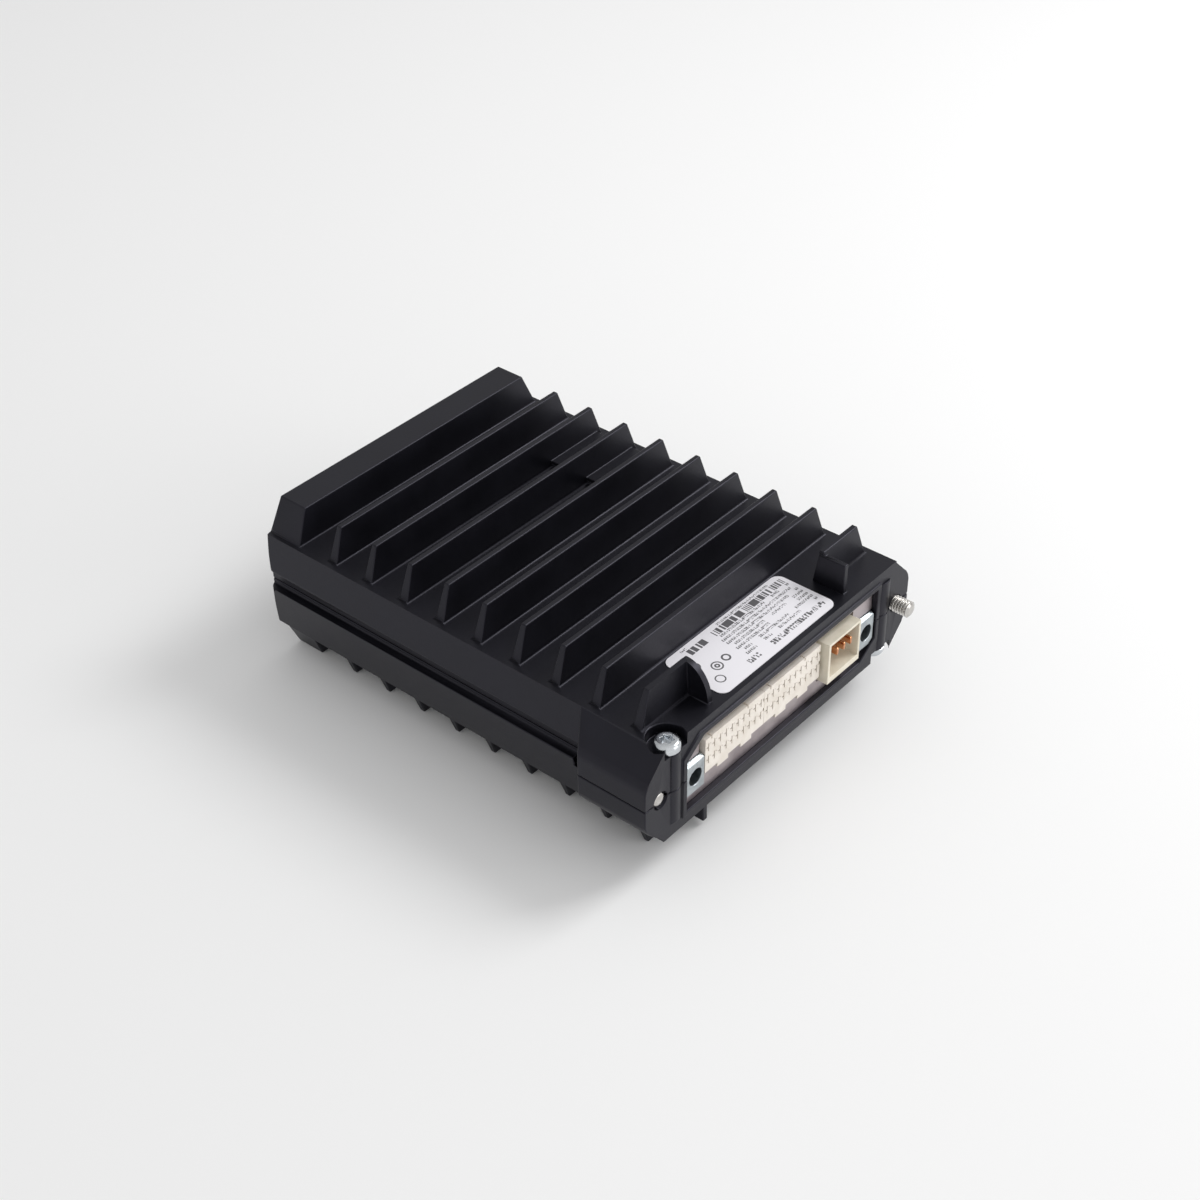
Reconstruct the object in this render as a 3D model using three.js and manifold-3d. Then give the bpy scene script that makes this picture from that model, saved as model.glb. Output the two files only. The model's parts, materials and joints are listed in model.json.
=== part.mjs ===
// A finned plug-in control module, lying on its side.
// Two equal die-cast halves close round a pair of circuit boards. One end carries a connector window
// and two captive mounting bolts, and the other end is closed by a thick bar.
//
// Units are millimetres and +Z is up. The design frame has x = 0 on the centre line, y = 0 on the
// connector face and z = 0 on the parting plane. The exported group moves that frame so that its
// origin is the bottom centre of the whole object.
import * as THREE from 'three';
import { mergeVertices } from 'three/addons/utils/BufferGeometryUtils.js';
import Module from 'manifold-3d';

const wasm = await Module();
wasm.setup();

// ---- driving dimensions ----------------------------------------------------------------------
const HALF_HEIGHT = 21; // parting plane to fin tips
const FLOOR_Z = 12.5; // parting plane to the plane that the fins stand on
const PART_GAP = 0.1; // each half stops this far from the parting plane
const BODY_LENGTH = 117; // connector face to the outside of the end bar
const WALL = 2.5;

const FIN_PITCH = 11.05;
const STUB_Y = 8.6; // first row, broken in the middle to leave room for the label
const FULL_FINS = 8;
const FIN_TIP_HALF = 36.5;
const FIN_ROOT_HALF = 39.2;
const FIN_TIP_THICK = 1.3;
const FIN_ROOT_THICK = 2.4;
const STUB_INNER = 24;
const FIN_FILLET = 0.6; // radius at the foot of every fin and of the bar

const BAR_TIP = [108.1, 116.1];
const BAR_ROOT = [107.3, BODY_LENGTH];

const BODY_HALF_TOP = 41.2;
const BODY_HALF_SKIRT = 43;
const GROOVE_HALF = 41.1; // bottom of the side groove
const SKIRT_HIGH = 3.8; // where the skirt stops on the high side of the groove
const SKIRT_LOW = 1.35; // and on the low side
const BODY_CORNER = 3;

const FLANGE_HALF = 47.3;
const FLANGE_SHOULDER = [[47.3, 4.4], [46.9, 5.7], [46.1, 7]]; // rounds the side into the chamfer
const FLANGE_TOP_HALF = 40.8;
const FLANGE_SIDE_DEPTH = 18;
const FLANGE_ROOT_DEPTH = 22.7;

const WINDOW_HALF_WIDTH = 34;
const WINDOW_HALF_HEIGHT = 8.7;
const WINDOW_CHAMFER = [5.5, 3.9];
const RIM_WIDTH = 1.3;
const RIM_HEIGHT = 0.4;

const CAVITY_HALF = 38.8;
const CAVITY_HALF_FLANGE = 34.3;
const CAVITY_TOP = 10;

const SCREW_X = 37.5;
const SCREW_Y = 2.4;
const SCREW_BOSS_R = 3;
const SCREW_HOLE_R = 1.8;
const SCREW_SEAT_Z = 9.8;
const SCREW_BLIND_Z = 8;
const COUNTERBORE_R = 4.4;

const BOLT_X = 42.3;
const BOLT_THREAD_R = 2;
const BOLT_NECK_R = 1.45;
const BOLT_HEAD_R = 3;
const BOLT_BORE_R = 2.25;
const BOLT_WEB_R = 1.75; // the web that the neck runs in, which keeps the bolt captive
const BOLT_POCKET_R = 3.4;
const BOLT_WEB = [6, 8];
const BOLT_TRAVEL = 4.6;
const BOLT_REACH = 4.5; // thread standing out of the face when the bolt is pushed home
const WASHER_THICK = 0.8;

const BOARD_THICK = 1.6;
const BOARD_LEVEL = 6; // inner face of each board, measured from the parting plane
const BOARD_HALF = 35;
const BOARD_Y = [10, 108];
const PILLAR_X = 31;
const PILLAR_Y = [17, 101];
const PILLAR_R = 2.8;

const CONTACT_PITCH = 2;
const CONTACT_COLUMNS = 10;
const CONTACT_LEVELS = [3.7, 0.3]; // middle heights of the two rows of contact slits
const SLIT_WIDTH = 0.35;
const SLIT_HEIGHT = 2.2;
const RECEPTACLE_X0 = -27.8;
const RECEPTACLE_LENGTH = 20.3;
const RECEPTACLE_Z = [-2.8, 6.2];
const TAB_OFFSET = 4; // two tabs under each receptacle, this far from its middle
const TAB_WIDTH = 3.7;
const TAB_FOOT_Z = -3.9;
const GUIDE_X = [28, 33.6];
const GUIDE_Z = [-5.6, 2.85];
const GUIDE_HOLE_Z = -1.65;
const GUIDE_HOLE_R = 2.1;
const GUIDE_LEAD_Z = 2.2; // the front edge is sloped off from here up
const HEADER_X = [13.7, 25.8];
const HEADER_Z = [-4.9, 6.1];
const HEADER_FRONT = -1.7;
const HEADER_WALL = 0.75;
const HEADER_FLOOR = 1.5;
const HEADER_ROOF = 0.6;
const BLADE_X = 20.3; // middle blade
const BLADE_PITCH = 2.5;
const BLADE_Z = [0.9, 2.8];
const SHIELD_Y = [1, 1.8];
const CONNECTOR_BACK = 9.8;

const ROUND_SEGMENTS = 24;

// ---- finishes ----------------------------------------------------------------------------------
const finish = (color, roughness, metalness) => new THREE.MeshStandardMaterial({ color, roughness, metalness });
const castBlack = finish(0x2a2a2e, 0.5, 0.35);
const zinc = finish(0xc9ccd0, 0.3, 1);
const steel = finish(0xb4b7ba, 0.35, 1);
const shieldMetal = finish(0xa79e9f, 0.45, 0.8);
const ivory = finish(0xebe4de, 0.55, 0);
const cream = finish(0xded8c8, 0.55, 0);
const copper = finish(0xc07848, 0.3, 1);
const labelWhite = finish(0xebe8ec, 0.5, 0);
const boardGreen = finish(0x1f5a3c, 0.6, 0);
const chipBlack = finish(0x1c1c1e, 0.6, 0);
const ferrite = finish(0x3b3a3c, 0.7, 0.1);
const sleeveBlue = finish(0x27346b, 0.4, 0);
const padGrey = finish(0x9aa3a8, 0.9, 0);

// ---- making and joining solids -----------------------------------------------------------------
function solid(geometry) {
  const bare = geometry.clone();
  bare.deleteAttribute('normal');
  bare.deleteAttribute('uv');
  const welded = mergeVertices(bare, 1e-5);
  const vertProperties = new Float32Array(welded.attributes.position.array);
  const triVerts = new Uint32Array(welded.index.array);
  return new wasm.Manifold(new wasm.Mesh({ numProp: 3, vertProperties, triVerts }));
}

function outline(points) {
  return new THREE.Shape(points.map(([u, v]) => new THREE.Vector2(u, v)));
}

// A plan outline (x, y) raised from z0 to z1.
function raisedPlan(shape, z0, z1) {
  const geometry = new THREE.ExtrudeGeometry(shape, { depth: z1 - z0, bevelEnabled: false, curveSegments: 6 });
  geometry.translate(0, 0, z0);
  return solid(geometry);
}

// A front outline (x, z) carried along y from y0 to y1.
function carriedFront(shape, y0, y1) {
  const geometry = new THREE.ExtrudeGeometry(shape, { depth: y1 - y0, bevelEnabled: false, curveSegments: 8 });
  geometry.rotateX(Math.PI / 2);
  geometry.translate(0, y1, 0);
  return solid(geometry);
}

// A side outline (y, z) carried along x from x0 to x1.
function carriedAcross(shape, x0, x1) {
  const geometry = new THREE.ExtrudeGeometry(shape, { depth: x1 - x0, bevelEnabled: false, curveSegments: 10 });
  geometry.rotateX(Math.PI / 2);
  geometry.rotateZ(Math.PI / 2);
  geometry.translate(x0, 0, 0);
  return solid(geometry);
}

function block([x0, x1], [y0, y1], [z0, z1]) {
  const geometry = new THREE.BoxGeometry(x1 - x0, y1 - y0, z1 - z0);
  geometry.translate((x0 + x1) / 2, (y0 + y1) / 2, (z0 + z1) / 2);
  return solid(geometry);
}

// A block whose foot and head are different rectangles, which gives a casting its draft.
function draftedBlock(foot, head, [z0, z1]) {
  const geometry = new THREE.BoxGeometry(1, 1, 1);
  const position = geometry.attributes.position;
  for (let i = 0; i < position.count; i += 1) {
    const ring = position.getZ(i) > 0 ? head : foot;
    const x = ring.x[position.getX(i) > 0 ? 1 : 0];
    const y = ring.y[position.getY(i) > 0 ? 1 : 0];
    position.setXYZ(i, x, y, position.getZ(i) > 0 ? z1 : z0);
  }
  return solid(geometry);
}

function uprightCylinder(radius, x, y, [z0, z1], segments = ROUND_SEGMENTS) {
  const geometry = new THREE.CylinderGeometry(radius, radius, z1 - z0, segments);
  geometry.rotateX(Math.PI / 2);
  geometry.translate(x, y, (z0 + z1) / 2);
  return solid(geometry);
}

function alongCylinder(radius, x, z, [y0, y1], segments = ROUND_SEGMENTS) {
  const geometry = new THREE.CylinderGeometry(radius, radius, y1 - y0, segments);
  geometry.translate(x, (y0 + y1) / 2, z);
  return solid(geometry);
}

// A turned piece about the y axis; the profile is a list of [radius, y] that starts and ends at 0.
function turnedAlongY(profile, x, z, segments = ROUND_SEGMENTS) {
  const points = profile.map(([radius, y]) => new THREE.Vector2(radius, y));
  const geometry = new THREE.LatheGeometry(points, segments);
  geometry.translate(x, 0, z);
  return solid(geometry);
}

function toGeometry(manifold) {
  const { vertProperties, triVerts } = manifold.getMesh();
  const geometry = new THREE.BufferGeometry();
  geometry.setAttribute('position', new THREE.BufferAttribute(new Float32Array(vertProperties), 3));
  geometry.setIndex(new THREE.BufferAttribute(new Uint32Array(triVerts), 1));
  geometry.computeVertexNormals();
  return geometry;
}

function piece(name, manifold, material, parent) {
  const mesh = new THREE.Mesh(toGeometry(manifold), material);
  mesh.name = name;
  parent.add(mesh);
  return mesh;
}

// ---- the die-cast half -------------------------------------------------------------------------
function roundedPlan(half, y0, y1, corner) {
  const shape = new THREE.Shape();
  shape.moveTo(-half, y0);
  shape.lineTo(half, y0);
  shape.lineTo(half, y1 - corner);
  shape.absarc(half - corner, y1 - corner, corner, 0, Math.PI / 2, false);
  shape.lineTo(-half + corner, y1);
  shape.absarc(-half + corner, y1 - corner, corner, Math.PI / 2, Math.PI, false);
  shape.closePath();
  return shape;
}

function castBody() {
  const section = outline([
    [-GROOVE_HALF, PART_GAP],
    [GROOVE_HALF, PART_GAP],
    [GROOVE_HALF, SKIRT_LOW],
    [BODY_HALF_SKIRT, SKIRT_LOW],
    [BODY_HALF_TOP, FLOOR_Z],
    [-BODY_HALF_TOP, FLOOR_Z],
    [-BODY_HALF_SKIRT, SKIRT_HIGH],
    [-GROOVE_HALF, SKIRT_HIGH],
  ]);
  const body = carriedFront(section, 0, BODY_LENGTH);
  const plan = raisedPlan(roundedPlan(BODY_HALF_SKIRT, 0, BODY_LENGTH, BODY_CORNER), 0, HALF_HEIGHT);
  return body.intersect(plan);
}

function castFlange() {
  const plan = outline([
    [-FLANGE_HALF, 0],
    [FLANGE_HALF, 0],
    [FLANGE_HALF, FLANGE_SIDE_DEPTH],
    [BODY_HALF_TOP - 1, FLANGE_ROOT_DEPTH],
    [1 - BODY_HALF_TOP, FLANGE_ROOT_DEPTH],
    [-FLANGE_HALF, FLANGE_SIDE_DEPTH],
  ]);
  const front = outline([
    [-FLANGE_HALF, PART_GAP],
    [FLANGE_HALF, PART_GAP],
    ...FLANGE_SHOULDER,
    [FLANGE_TOP_HALF, FLOOR_Z],
    [-FLANGE_TOP_HALF, FLOOR_Z],
    ...FLANGE_SHOULDER.map(([x, z]) => [-x, z]).reverse(),
  ]);
  return raisedPlan(plan, 0, FLOOR_Z).intersect(carriedFront(front, 0, FLANGE_ROOT_DEPTH));
}

// Window outline of the upper half: chamfered on the left, square on the right.
function windowOutline(grow) {
  const [chamferX, chamferZ] = WINDOW_CHAMFER;
  const side = WINDOW_HALF_WIDTH + grow;
  const top = WINDOW_HALF_HEIGHT + grow;
  return outline([
    [-side, PART_GAP],
    [side, PART_GAP],
    [side, top],
    [-side + chamferX, top],
    [-side, top - chamferZ],
  ]);
}

// One flank of a rib, from the foot up: the fillet, then the drafted face to the tip. The floor lies on
// the away side (-1 or 1) of the flank.
function flank(root, tip, away) {
  const steps = 3;
  const points = [[root + away * FIN_FILLET, FLOOR_Z - 0.5]];
  for (let step = 0; step <= steps; step += 1) {
    const turn = (step / steps) * (Math.PI / 2);
    const out = root + away * FIN_FILLET * (1 - Math.sin(turn));
    points.push([out, FLOOR_Z + FIN_FILLET * (1 - Math.cos(turn))]);
  }
  points.push([tip, HALF_HEIGHT]);
  return points;
}

// A rib is its section (y, z) carried across x, cut to its front outline (x, z).
function rib(front, back, left, right) {
  const section = outline([...front, ...back.reverse()]);
  const ends = outline([...left, ...right.reverse()]);
  return carriedAcross(section, -BODY_HALF_TOP, BODY_HALF_TOP).intersect(carriedFront(ends, 0, BODY_LENGTH));
}

function fin(y, left, right) {
  const front = flank(y - FIN_ROOT_THICK / 2, y - FIN_TIP_THICK / 2, -1);
  const back = flank(y + FIN_ROOT_THICK / 2, y + FIN_TIP_THICK / 2, 1);
  return rib(front, back, left, right);
}

function castFins() {
  const leftEnd = () => flank(-FIN_ROOT_HALF, -FIN_TIP_HALF, -1);
  const rightEnd = () => flank(FIN_ROOT_HALF, FIN_TIP_HALF, 1);
  const innerEnd = (x) => [[x, FLOOR_Z - 0.5], [x, HALF_HEIGHT]];
  const rows = [];
  for (let row = 1; row <= FULL_FINS; row += 1) {
    rows.push(fin(STUB_Y + row * FIN_PITCH, leftEnd(), rightEnd()));
  }
  rows.push(fin(STUB_Y, leftEnd(), innerEnd(-STUB_INNER)));
  rows.push(fin(STUB_Y, innerEnd(STUB_INNER), rightEnd()));
  return rows;
}

function castBar() {
  return rib(
    flank(BAR_ROOT[0], BAR_TIP[0], -1),
    [[BAR_ROOT[1], FLOOR_Z - 0.5], [BAR_TIP[1], HALF_HEIGHT]],
    flank(-FIN_ROOT_HALF - 0.6, -FIN_TIP_HALF, -1),
    flank(FIN_ROOT_HALF + 0.6, FIN_TIP_HALF, 1),
  );
}

// The webs at the inner ends of the stubs: square on one side, with a rounded front on the other.
function castWebs() {
  const thick = 1.4;
  const back = STUB_Y + 2;
  const front = 2.2;
  const top = HALF_HEIGHT - 1;
  const square = outline([[front, FLOOR_Z - 0.5], [back, FLOOR_Z - 0.5], [STUB_Y + 0.6, top], [front, top]]);
  const rounded = new THREE.Shape();
  rounded.moveTo(back, FLOOR_Z - 0.5);
  rounded.lineTo(STUB_Y + 0.6, HALF_HEIGHT);
  rounded.absellipse(STUB_Y, FLOOR_Z, STUB_Y - front, HALF_HEIGHT - FLOOR_Z, Math.PI / 2, Math.PI, false, 0);
  rounded.lineTo(front, FLOOR_Z - 0.5);
  rounded.closePath();
  return [
    carriedAcross(square, STUB_INNER - 0.4, STUB_INNER - 0.4 + thick),
    carriedAcross(rounded, -STUB_INNER - 0.4, -STUB_INNER - 0.4 + thick),
  ];
}

function castHalf() {
  let half = castBody().add(castFlange());
  half = half.add(carriedFront(windowOutline(RIM_WIDTH), -RIM_HEIGHT, 1));
  half = half.subtract(
    block([-CAVITY_HALF_FLANGE, CAVITY_HALF_FLANGE], [WALL, FLANGE_ROOT_DEPTH + 2], [-1, CAVITY_TOP]),
  );
  half = half.subtract(
    block([-CAVITY_HALF, CAVITY_HALF], [FLANGE_ROOT_DEPTH + 1, BODY_LENGTH - 3.5], [-1, CAVITY_TOP]),
  );
  [castBar(), ...castFins(), ...castWebs()].forEach((raised) => {
    half = half.add(raised);
  });

  // Raised floor pads between two pairs of fins, on the right only.
  [5, 6].forEach((row) => {
    const y = STUB_Y + row * FIN_PITCH;
    half = half.add(block([20.7, FIN_TIP_HALF + 1], [y, y + FIN_PITCH], [FLOOR_Z - 0.5, FLOOR_Z + 1.6]));
  });

  // Board pillars, and the tab that hooks the far end into the other half.
  [-PILLAR_X, PILLAR_X].forEach((x) => {
    PILLAR_Y.forEach((y) => {
      const pillar = uprightCylinder(PILLAR_R, x, y, [BOARD_LEVEL + BOARD_THICK + 0.3, CAVITY_TOP + 0.5], 16);
      half = half.add(pillar).subtract(uprightCylinder(1.3, x, y, [0, CAVITY_TOP], 12));
    });
  });
  const tabBack = BODY_LENGTH - 3.5 - 0.3;
  half = half.add(block([14, 26], [tabBack - 1.7, tabBack], [-3, CAVITY_TOP + 0.5]));
  half = half.add(block([14, 26], [tabBack - 1.7, tabBack + 1], [PART_GAP, 3]));

  // Screw bosses: one is counterbored for the head, the other is blind for the thread.
  half = half.add(uprightCylinder(SCREW_BOSS_R, -SCREW_X, SCREW_Y, [PART_GAP, SCREW_SEAT_Z]));
  half = half.add(uprightCylinder(SCREW_BOSS_R, SCREW_X, SCREW_Y, [PART_GAP, SCREW_BLIND_Z + 1]));
  half = half.subtract(uprightCylinder(COUNTERBORE_R, -SCREW_X, SCREW_Y, [SCREW_SEAT_Z, HALF_HEIGHT]));
  half = half.subtract(uprightCylinder(SCREW_HOLE_R, -SCREW_X, SCREW_Y, [-1, HALF_HEIGHT], 16));
  half = half.subtract(uprightCylinder(SCREW_HOLE_R, SCREW_X, SCREW_Y, [-1, SCREW_BLIND_Z], 16));

  // Window, and the stepped bores for the captive bolts, half in each casting.
  half = half.subtract(carriedFront(windowOutline(0), -2, WALL + 1));
  [-BOLT_X, BOLT_X].forEach((x) => {
    half = half.subtract(alongCylinder(BOLT_BORE_R, x, 0, [-1, BOLT_WEB[0]]));
    half = half.subtract(alongCylinder(BOLT_WEB_R, x, 0, [-1, BOLT_WEB[1] + 1]));
    half = half.subtract(alongCylinder(BOLT_POCKET_R, x, 0, [BOLT_WEB[1], FLANGE_ROOT_DEPTH + 0.3]));
  });
  return half;
}

// ---- fasteners ---------------------------------------------------------------------------------
function hexPrism(acrossFlats, x, z, [y0, y1]) {
  return alongCylinder(acrossFlats / Math.sqrt(3), x, z, [y0, y1], 6);
}

function housingScrew() {
  const headTop = SCREW_SEAT_Z + 0.1 + 2.2;
  const head = uprightCylinder(3, -SCREW_X, SCREW_Y, [SCREW_SEAT_Z + 0.1, headTop]);
  const shank = uprightCylinder(1.5, -SCREW_X, SCREW_Y, [-SCREW_BLIND_Z + 0.8, SCREW_SEAT_Z + 0.2], 16);
  const recess = uprightCylinder(1.2, -SCREW_X, SCREW_Y, [headTop - 1.2, headTop + 1], 6);
  return head.add(shank).subtract(recess);
}

// shift is how far the bolt is drawn back from its home position.
function mountingBolt(x, shift) {
  const tip = -BOLT_REACH + shift;
  const threadEnd = BOLT_WEB[0] - 0.1 - BOLT_TRAVEL + shift;
  const headFront = BOLT_WEB[1] + 0.2 + WASHER_THICK + 0.1 + shift;
  const headBack = headFront + 4;
  const bolt = turnedAlongY([
    [0, tip],
    [BOLT_THREAD_R - 0.4, tip],
    [BOLT_THREAD_R, tip + 0.4],
    [BOLT_THREAD_R, threadEnd],
    [BOLT_NECK_R, threadEnd],
    [BOLT_NECK_R, headFront],
    [BOLT_HEAD_R, headFront],
    [BOLT_HEAD_R, headBack - 0.4],
    [BOLT_HEAD_R - 0.4, headBack],
    [0, headBack],
  ], x, 0);
  return bolt.subtract(hexPrism(2.5, x, 0, [headBack - 2.2, headBack + 1]));
}

function boltWasher(x, shift) {
  const front = BOLT_WEB[1] + 0.2 + shift;
  const ring = alongCylinder(BOLT_HEAD_R, x, 0, [front, front + WASHER_THICK]);
  return ring.subtract(alongCylinder(BOLT_NECK_R + 0.15, x, 0, [front - 1, front + WASHER_THICK + 1]));
}

// ---- connector -----------------------------------------------------------------------------------
// The whole opening, both halves together, drawn in by insetX at the sides and insetZ above and below.
function openingOutline(insetX, insetZ) {
  const side = WINDOW_HALF_WIDTH - insetX;
  const top = WINDOW_HALF_HEIGHT - insetZ;
  const [chamferX, chamferZ] = WINDOW_CHAMFER;
  return outline([
    [-side, -top],
    [side - chamferX, -top],
    [side, chamferZ - top],
    [side, top],
    [-side + chamferX, top],
    [-side, top - chamferZ],
  ]);
}

function connectorShield() {
  const top = RECEPTACLE_Z[1] + 0.5;
  const guide = [GUIDE_Z[0] - 0.3, GUIDE_Z[1] + 0.2];
  const slots = [
    [[RECEPTACLE_X0 - 0.8, HEADER_X[1] + 0.6], [TAB_FOOT_Z - 0.2, top]],
    [[HEADER_X[0] - 0.3, HEADER_X[1] + 0.6], [HEADER_Z[0] - 0.3, top]],
    [[-GUIDE_X[1] - 0.5, -GUIDE_X[0] + 0.3], guide],
    [[GUIDE_X[0] - 0.3, GUIDE_X[1] + 0.5], guide],
  ];
  let plate = carriedFront(openingOutline(0.15, 0.15), ...SHIELD_Y);
  slots.forEach(([x, z]) => {
    plate = plate.subtract(block(x, [SHIELD_Y[0] - 1, SHIELD_Y[1] + 1], z));
  });
  return plate;
}

function signalReceptacle(index) {
  const x0 = RECEPTACLE_X0 + index * RECEPTACLE_LENGTH;
  const middle = x0 + RECEPTACLE_LENGTH / 2;
  let body = block([x0 + 0.05, x0 + RECEPTACLE_LENGTH - 0.05], [0, CONNECTOR_BACK], RECEPTACLE_Z);
  [-TAB_OFFSET, TAB_OFFSET].forEach((offset) => {
    const x = [middle + offset - TAB_WIDTH / 2, middle + offset + TAB_WIDTH / 2];
    body = body.add(block(x, [0, CONNECTOR_BACK], [TAB_FOOT_Z, RECEPTACLE_Z[0] + 0.5]));
  });
  for (let column = 0; column < CONTACT_COLUMNS; column += 1) {
    const x = middle + CONTACT_PITCH * (column - (CONTACT_COLUMNS - 1) / 2);
    CONTACT_LEVELS.forEach((z) => {
      const across = [x - SLIT_WIDTH / 2, x + SLIT_WIDTH / 2];
      body = body.subtract(block(across, [-1, 4], [z - SLIT_HEIGHT / 2, z + SLIT_HEIGHT / 2]));
    });
  }
  return body;
}

function powerHeader() {
  const shell = block(HEADER_X, [HEADER_FRONT, CONNECTOR_BACK], HEADER_Z);
  const x = [HEADER_X[0] + HEADER_WALL, HEADER_X[1] - HEADER_WALL];
  const z = [HEADER_Z[0] + HEADER_FLOOR, HEADER_Z[1] - HEADER_ROOF];
  return shell.subtract(block(x, [HEADER_FRONT - 1, HEADER_FRONT + 9], z));
}

function powerBlade(index) {
  const x = BLADE_X + (index - 1) * BLADE_PITCH;
  return block([x - 0.3, x + 0.3], [HEADER_FRONT + 0.4, HEADER_FRONT + 8.9], BLADE_Z);
}

function guideSocket(side) {
  const x = side < 0 ? [-GUIDE_X[1], -GUIDE_X[0]] : GUIDE_X;
  const body = block(x, [0, CONNECTOR_BACK], GUIDE_Z)
    .intersect(carriedFront(openingOutline(0.3, 0.3), -1, CONNECTOR_BACK + 1));
  const wide = [x[0] - 1, x[1] + 1];
  const slope = draftedBlock({ x: wide, y: [-1, 0] }, { x: wide, y: [-1, 1.8] }, [GUIDE_LEAD_Z, GUIDE_LEAD_Z + 1.3]);
  const hole = alongCylinder(GUIDE_HOLE_R, (x[0] + x[1]) / 2, GUIDE_HOLE_Z, [-1, 8]);
  return body.subtract(slope).subtract(hole);
}

// ---- boards and what they carry ------------------------------------------------------------------
function board(side) {
  const z = side > 0 ? [BOARD_LEVEL, BOARD_LEVEL + BOARD_THICK] : [-BOARD_LEVEL - BOARD_THICK, -BOARD_LEVEL];
  let plate = block([-BOARD_HALF, BOARD_HALF], BOARD_Y, z);
  [-1, 1].forEach((end) => {
    const corner = [end * BOARD_HALF, end * (CAVITY_HALF_FLANGE - 1)].sort((a, b) => a - b);
    plate = plate.subtract(block(corner, [BOARD_Y[0] - 1, FLANGE_ROOT_DEPTH + 2], z.map((v, i) => v + i * 2 - 1)));
  });
  [-PILLAR_X, PILLAR_X].forEach((x) => {
    PILLAR_Y.forEach((y) => {
      plate = plate.subtract(uprightCylinder(1.7, x, y, [z[0] - 1, z[1] + 1], 12));
    });
  });
  return plate;
}

function boardScrew(side, x, y) {
  const seat = side * (BOARD_LEVEL - 0.05);
  const top = side * (BOARD_LEVEL - 1.5);
  const end = side * (CAVITY_TOP - 0.8);
  const span = (a, b) => [a, b].sort((p, q) => p - q);
  const head = uprightCylinder(2.4, x, y, span(top, seat), 16);
  return head.add(uprightCylinder(1, x, y, span(seat - side * 0.2, end), 12));
}

function capacitor(index) {
  const radius = 4;
  const z = -BOARD_LEVEL + radius + 0.3;
  return alongCylinder(radius, -22 + index * 10, z, [86, 100], 20);
}

function inductor() {
  const ring = alongCylinder(8, 0, 0, [-4.2, 4.2], 24).subtract(alongCylinder(3.2, 0, 0, [-6, 6], 24));
  return ring.rotate([90, 0, 0]).translate([18, 74, -1.5]);
}

// ---- assembly --------------------------------------------------------------------------------------
const module = new THREE.Group();
module.position.set(0, -(BODY_LENGTH - BOLT_REACH) / 2, HALF_HEIGHT);

const turned = new THREE.Group();
turned.rotation.y = Math.PI;
module.add(turned);

const casting = castHalf();
piece('upper_housing', casting, castBlack, module);
piece('lower_housing', casting, castBlack, turned);
piece('housing_screw_upper', housingScrew(), zinc, module);
piece('housing_screw_lower', housingScrew(), zinc, turned);

piece('mounting_bolt_left', mountingBolt(-BOLT_X, BOLT_TRAVEL), steel, module);
piece('bolt_washer_left', boltWasher(-BOLT_X, BOLT_TRAVEL), steel, module);
piece('mounting_bolt_right', mountingBolt(BOLT_X, 0), steel, module);
piece('bolt_washer_right', boltWasher(BOLT_X, 0), steel, module);

piece('connector_shield', connectorShield(), shieldMetal, module);
piece('signal_receptacle_1', signalReceptacle(0), ivory, module);
piece('signal_receptacle_2', signalReceptacle(1), ivory, module);
piece('power_header', powerHeader(), cream, module);
[0, 1, 2].forEach((index) => piece(`power_blade_${index + 1}`, powerBlade(index), copper, module));
piece('guide_socket_left', guideSocket(-1), zinc, module);
piece('guide_socket_right', guideSocket(1), zinc, module);

const labelPlan = roundedPlan(20.2, -8.25, 8.25, 2.2);
const label = raisedPlan(labelPlan, 0, 0.15).intersect(raisedPlan(labelPlan, 0, 0.15).rotate([0, 0, 180]));
piece('rating_label', label.translate([0, 9.55, FLOOR_Z + 0.02]), labelWhite, module);

piece('control_board', board(-1), boardGreen, module);
piece('power_board', board(1), boardGreen, module);
[[-1, 'control_board_screw'], [1, 'power_board_screw']].forEach(([side, name]) => {
  let count = 0;
  [-PILLAR_X, PILLAR_X].forEach((x) => {
    PILLAR_Y.forEach((y) => {
      count += 1;
      piece(`${name}_${count}`, boardScrew(side, x, y), steel, module);
    });
  });
});

const chipFoot = -BOARD_LEVEL + 0.1;
piece('processor', block([-16, 4], [44, 64], [chipFoot, chipFoot + 2]), chipBlack, module);
piece('memory_chip', block([-16, -4], [68, 78], [chipFoot, chipFoot + 1.4]), chipBlack, module);
piece('interface_chip_1', block([-22, -8], [24, 32], [chipFoot, chipFoot + 1.8]), chipBlack, module);
piece('interface_chip_2', block([2, 16], [24, 32], [chipFoot, chipFoot + 1.8]), chipBlack, module);
piece('board_link', block([-33, -29], [34, 84], [chipFoot, BOARD_LEVEL - 0.1]), chipBlack, module);
[0, 1, 2, 3].forEach((index) => {
  const x = -20 + index * 13;
  const z = [BOARD_LEVEL - 4.6, BOARD_LEVEL - 0.1];
  piece(`power_transistor_${index + 1}`, block([x - 5, x + 5], [46, 61], z), chipBlack, module);
});
[0, 1, 2].forEach((index) => piece(`filter_capacitor_${index + 1}`, capacitor(index), sleeveBlue, module));
piece('power_inductor', inductor(), ferrite, module);
const padRoof = [BOARD_LEVEL + BOARD_THICK + 0.1, CAVITY_TOP - 0.1];
piece('power_thermal_pad', block([-24, 24], [44, 64], padRoof), padGrey, module);
piece('control_thermal_pad', block([-16, 6], [42, 66], [-padRoof[1], -padRoof[0]]), padGrey, module);

export default module;
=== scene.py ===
# %% [markdown]
# # A finned plug-in control module
# A small electronics module in two equal die castings. It lies on its lower fins, as on a bench, with
# the connector end towards the camera. The CAD model is the fixed frame: it says where every piece is
# and how big it is. This lesson gives each piece its finished surface, one cell at a time.

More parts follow.
